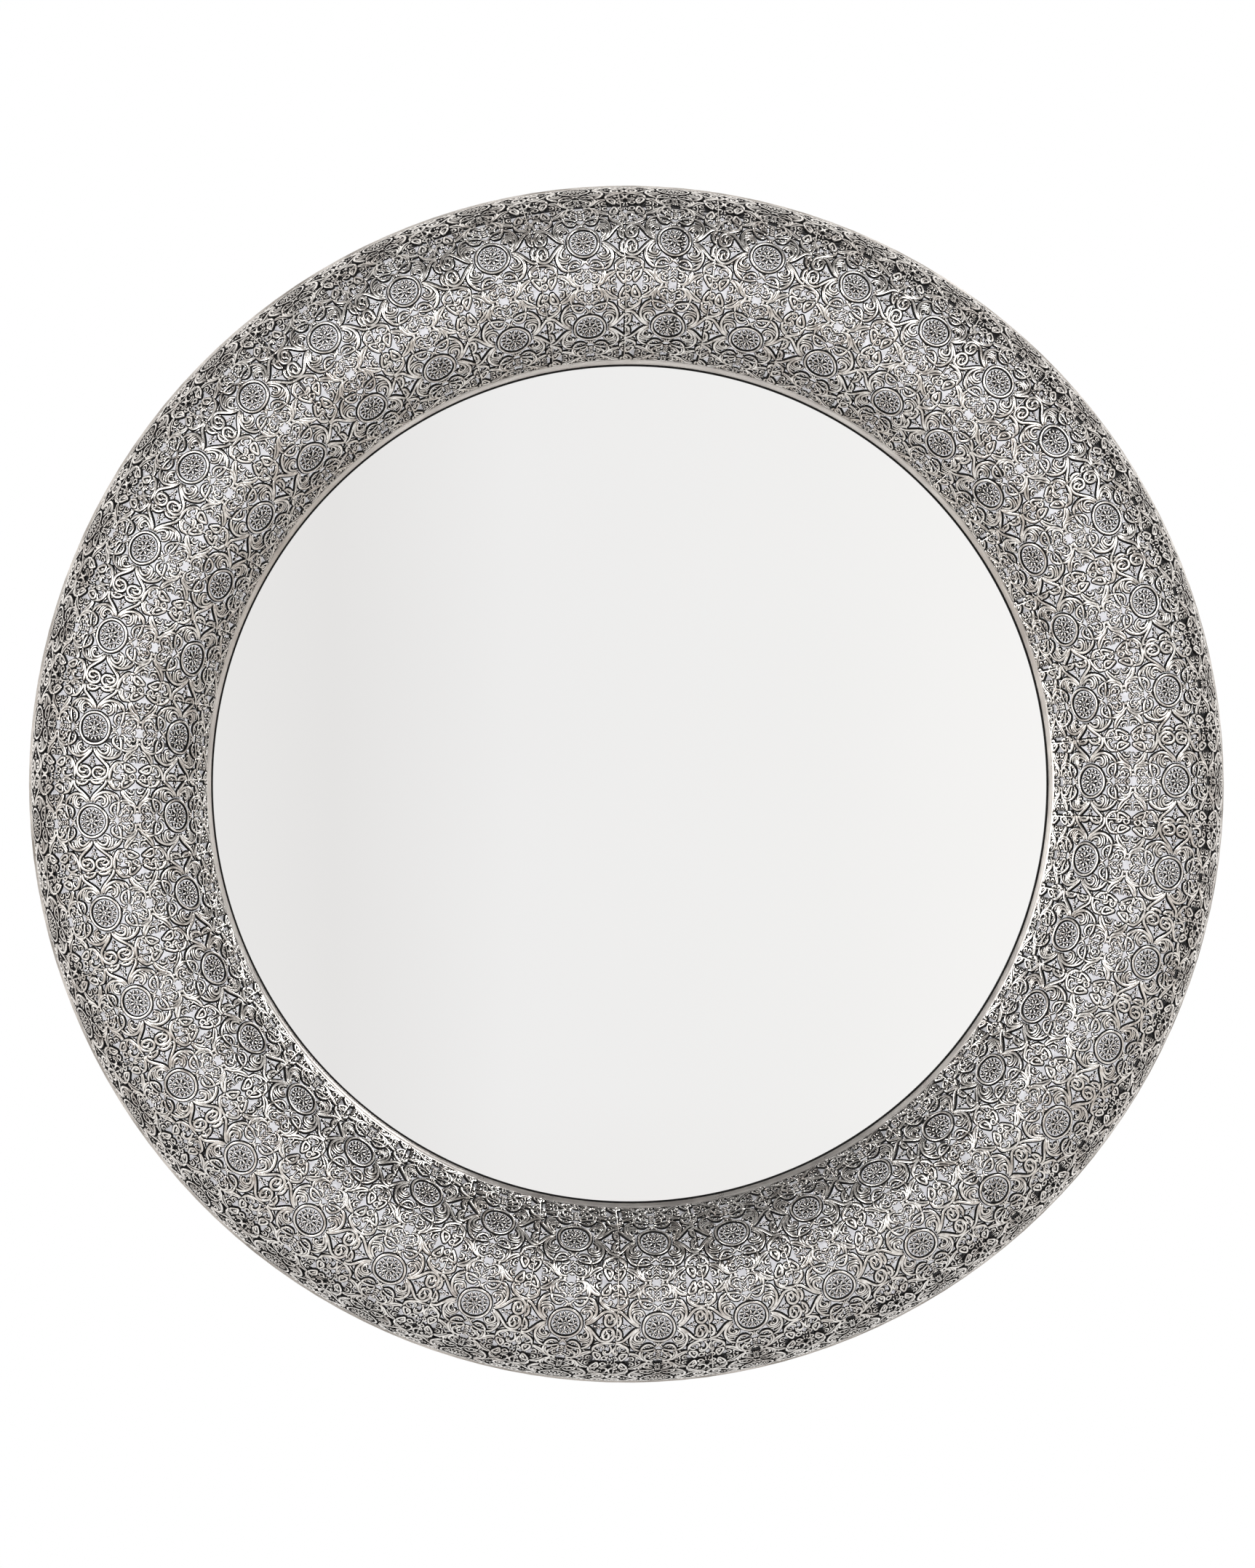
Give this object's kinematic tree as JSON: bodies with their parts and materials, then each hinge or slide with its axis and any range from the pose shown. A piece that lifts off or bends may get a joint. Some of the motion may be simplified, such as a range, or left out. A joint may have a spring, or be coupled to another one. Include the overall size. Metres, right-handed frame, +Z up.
{
  "type": "wall mirror",
  "caption": "Round wall mirror with a wide half-round frame of embossed, pierced silver-coloured sheet-metal panels and hanging rings on the back.",
  "frame": {"origin": "centre of the wall plane behind the mirror, where the bumpers' faces touch the wall", "axes": "+Y into the wall, the glass faces -Y, +Z up as the mirror hangs"},
  "size_m": [0.8, 0.0768, 0.8],
  "materials": {
    "panel_silver": "embossed and pierced silver-coloured sheet, bright on the ridges and dark in the recesses",
    "band_silver": "plain silver-coloured strip, satin",
    "hoop_silver": "smooth polished silver-coloured hoop",
    "silvered_glass": "plain silvered mirror glass",
    "painted_board": "fibre board, painted pale grey",
    "dark_steel": "dark steel rod",
    "zinc_steel": "zinc-plated steel",
    "rubber": "matt black rubber"
  },
  "bodies": {
    "frame": {"back_board": "painted_board", "glass_hoop": "hoop_silver", "gore_panel_01": "panel_silver", "gore_panel_02": "panel_silver", "gore_panel_03": "panel_silver", "gore_panel_04": "panel_silver", "gore_panel_05": "panel_silver", "gore_panel_06": "panel_silver", "gore_panel_07": "panel_silver", "gore_panel_08": "panel_silver", "gore_panel_09": "panel_silver", "gore_panel_10": "panel_silver", "gore_panel_11": "panel_silver", "gore_panel_12": "panel_silver", "gore_panel_13": "panel_silver", "gore_panel_14": "panel_silver", "gore_panel_15": "panel_silver", "gore_panel_16": "panel_silver", "gore_panel_17": "panel_silver", "gore_panel_18": "panel_silver", "gore_panel_19": "panel_silver", "gore_panel_20": "panel_silver", "gore_panel_21": "panel_silver", "gore_panel_22": "panel_silver", "gore_panel_23": "panel_silver", "gore_panel_24": "panel_silver", "gore_panel_25": "panel_silver", "gore_panel_26": "panel_silver", "gore_panel_27": "panel_silver", "gore_panel_28": "panel_silver", "gore_panel_29": "panel_silver", "gore_panel_30": "panel_silver", "gore_panel_31": "panel_silver", "gore_panel_32": "panel_silver", "gore_panel_33": "panel_silver", "gore_panel_34": "panel_silver", "gore_panel_35": "panel_silver", "gore_panel_36": "panel_silver", "gore_panel_37": "panel_silver", "hanger_screw_left": "zinc_steel", "hanger_screw_right": "zinc_steel", "hanger_strap_left": "zinc_steel", "hanger_strap_right": "zinc_steel", "mirror_glass": "silvered_glass", "rim_band": "band_silver", "support_rib_1": "dark_steel", "support_rib_2": "dark_steel", "support_rib_3": "dark_steel", "support_rib_4": "dark_steel", "support_rib_5": "dark_steel", "support_rib_6": "dark_steel", "support_rib_7": "dark_steel", "support_rib_8": "dark_steel", "wall_bumper_1": "rubber", "wall_bumper_2": "rubber", "wall_bumper_3": "rubber", "wall_bumper_4": "rubber"},
    "ring_left": {"hanger_ring_left": "zinc_steel"},
    "ring_right": {"hanger_ring_right": "zinc_steel"}
  },
  "joints": [
    {"name": "hanger_ring_left_swing", "type": "hinge", "parent": "frame", "child": "ring_left", "pos_m": [-0.21, -0.0034, 0.17], "axis": [1, 0, 0], "range_deg": [0, 178]},
    {"name": "hanger_ring_right_swing", "type": "hinge", "parent": "frame", "child": "ring_right", "pos_m": [0.21, -0.0034, 0.17], "axis": [1, 0, 0], "range_deg": [0, 178]}
  ]
}
